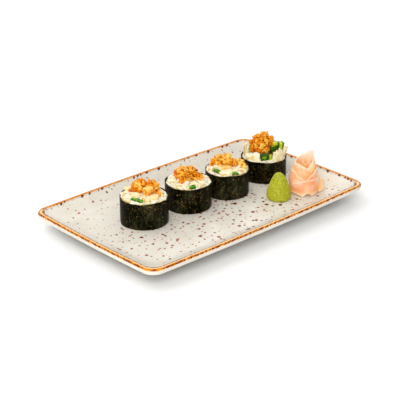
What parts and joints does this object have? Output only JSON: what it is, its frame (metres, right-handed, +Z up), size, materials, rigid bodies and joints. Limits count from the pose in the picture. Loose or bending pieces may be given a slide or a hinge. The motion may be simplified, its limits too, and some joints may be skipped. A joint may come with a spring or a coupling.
{
  "type": "maki sushi roll",
  "caption": "Cut maki sushi rolls with a crisp topping on a rectangular speckled dish with a sloped rim, with a wasabi cone and a rose of pickled ginger.",
  "frame": {"origin": "centre of the dish, on the plane that its foot stands on", "axes": "+X along the long side of the dish towards the end with the ginger, +Y across it to the side behind the rolls, +Z up"},
  "size_m": [0.27, 0.1672, 0.0533],
  "materials": {
    "glaze": "glossy cream-white glaze with brown specks and an orange-brown line on the rim",
    "nori": "satin, dark green-black roasted seaweed",
    "rice": "moist white rice",
    "surimi": "moist cream-white blocks",
    "shreds": "moist pale cream shreds",
    "cucumber": "moist, dark green skin and yellow-green flesh",
    "crisp": "fried orange-gold crumbs",
    "golden": "translucent golden fried piece",
    "onion": "moist bright green shaving",
    "wasabi": "matt yellow-green paste",
    "ginger": "moist, translucent peach-pink slice"
  },
  "bodies": {
    "root": {"crisp_1": "crisp", "crisp_2": "crisp", "crisp_3": "crisp", "crisp_4": "crisp", "cucumber_4_1": "cucumber", "cucumber_4_2": "cucumber", "cucumber_4_3": "cucumber", "cucumber_4_4": "cucumber", "cucumber_4_5": "cucumber", "cucumber_4_6": "cucumber", "cucumber_4_7": "cucumber", "dish": "glaze", "ginger_1": "ginger", "ginger_2": "ginger", "ginger_3": "ginger", "ginger_4": "ginger", "ginger_5": "ginger", "ginger_6": "ginger", "ginger_7": "ginger", "ginger_8": "ginger", "ginger_9": "ginger", "ginger_10": "ginger", "ginger_11": "ginger", "golden_1": "golden", "golden_3": "golden", "nori_1": "nori", "nori_2": "nori", "nori_3": "nori", "nori_4": "nori", "onion_1_1": "onion", "onion_2_1": "onion", "onion_3_1": "onion", "onion_3_2": "onion", "rice_1": "rice", "rice_2": "rice", "rice_3": "rice", "rice_4": "rice", "shreds_4_1": "shreds", "shreds_4_2": "shreds", "shreds_4_3": "shreds", "shreds_4_4": "shreds", "surimi_1_1": "surimi", "surimi_1_2": "surimi", "surimi_1_3": "surimi", "surimi_1_4": "surimi", "surimi_1_5": "surimi", "surimi_2_1": "surimi", "surimi_3_1": "surimi", "surimi_3_2": "surimi", "surimi_3_3": "surimi", "surimi_4_1": "surimi", "surimi_4_2": "surimi", "wasabi": "wasabi"}
  },
  "joints": []
}
